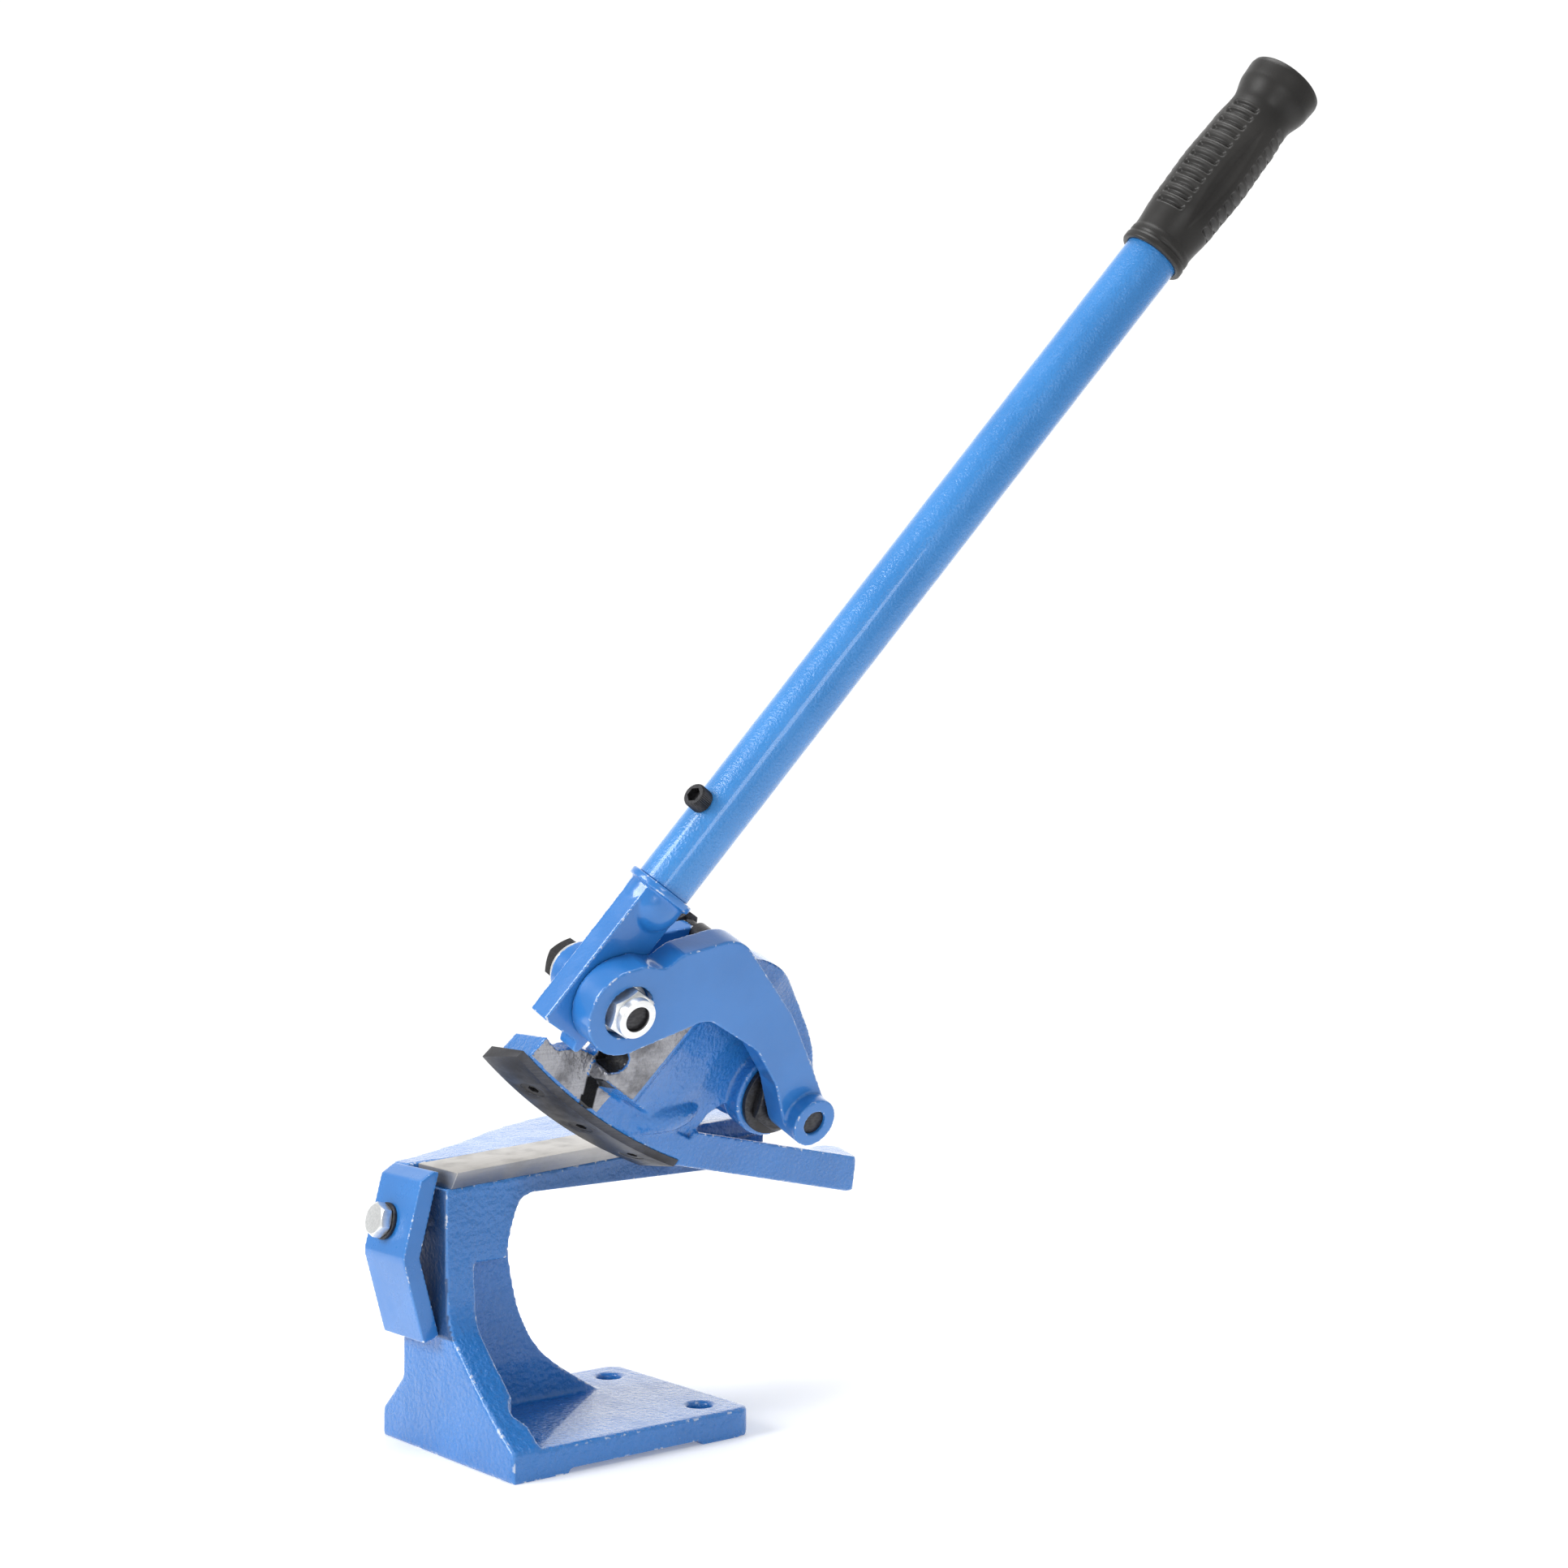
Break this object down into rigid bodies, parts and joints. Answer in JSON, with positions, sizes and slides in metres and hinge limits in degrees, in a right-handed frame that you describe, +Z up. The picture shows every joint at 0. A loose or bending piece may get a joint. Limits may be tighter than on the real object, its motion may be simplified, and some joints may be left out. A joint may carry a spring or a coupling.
{
  "type": "bench lever shear",
  "caption": "Throatless bench shear: cast frame with a lower blade, a hinged head with a curved upper blade, and a long toothed lever on links that swings the head down.",
  "frame": {"origin": "middle of the base plate's bolt pattern, on the bench", "axes": "+Z up, -Y towards the clamp end where the sheet goes in, +X towards the near side with the handle links"},
  "size_m": [0.4119, 0.3877, 0.7442],
  "materials": {
    "paint": "glossy blue enamel over castings and tube",
    "bright_steel": "ground tool steel",
    "dark_steel": "hardened tool steel, dull",
    "black_steel": "black oxide",
    "zinc": "bright zinc plate",
    "bronze": "plain bearing bronze",
    "nylon": "black nylon insert",
    "rubber": "satin black moulded rubber"
  },
  "bodies": {
    "frame": {"frame": "paint", "lower_blade": "bright_steel", "clamp_plate": "paint", "clamp_bolt": "zinc", "clamp_washer": "black_steel", "pivot_bolt": "black_steel", "pivot_washer": "black_steel", "pivot_nut": "black_steel"},
    "head": {"head": "paint", "upper_blade": "dark_steel", "upper_blade_screws": "black_steel"},
    "links": {"near_link": "paint", "far_link": "paint", "link_tie": "black_steel", "lever_bolt": "black_steel", "lever_spacer": "dark_steel", "lever_washers": "zinc", "lock_nut": "zinc", "lock_ring": "nylon"},
    "lever": {"lever": "paint", "lever_bush": "bronze", "handle_pipe": "paint", "handle_screw": "black_steel", "grip": "rubber"}
  },
  "joints": [
    {"name": "head_hinge", "type": "hinge", "parent": "frame", "child": "head", "pos_m": [0.04666, 0.101, 0.19123], "axis": [0.9239, 0, -0.3827], "range_deg": [0, 22]},
    {"name": "link_hinge", "type": "hinge", "parent": "frame", "child": "links", "pos_m": [0.04666, 0.101, 0.19123], "axis": [0.9239, 0, -0.3827], "range_deg": [0, 30.8]},
    {"name": "lever_hinge", "type": "hinge", "parent": "links", "child": "lever", "pos_m": [0.08825, -0.03883, 0.25245], "axis": [0.9239, 0, -0.3827], "range_deg": [0, 35.2]}
  ],
  "couplings": [
    {"joint": "link_hinge", "follows": "head_hinge", "ratio": 1.4},
    {"joint": "lever_hinge", "follows": "head_hinge", "ratio": 1.6}
  ]
}
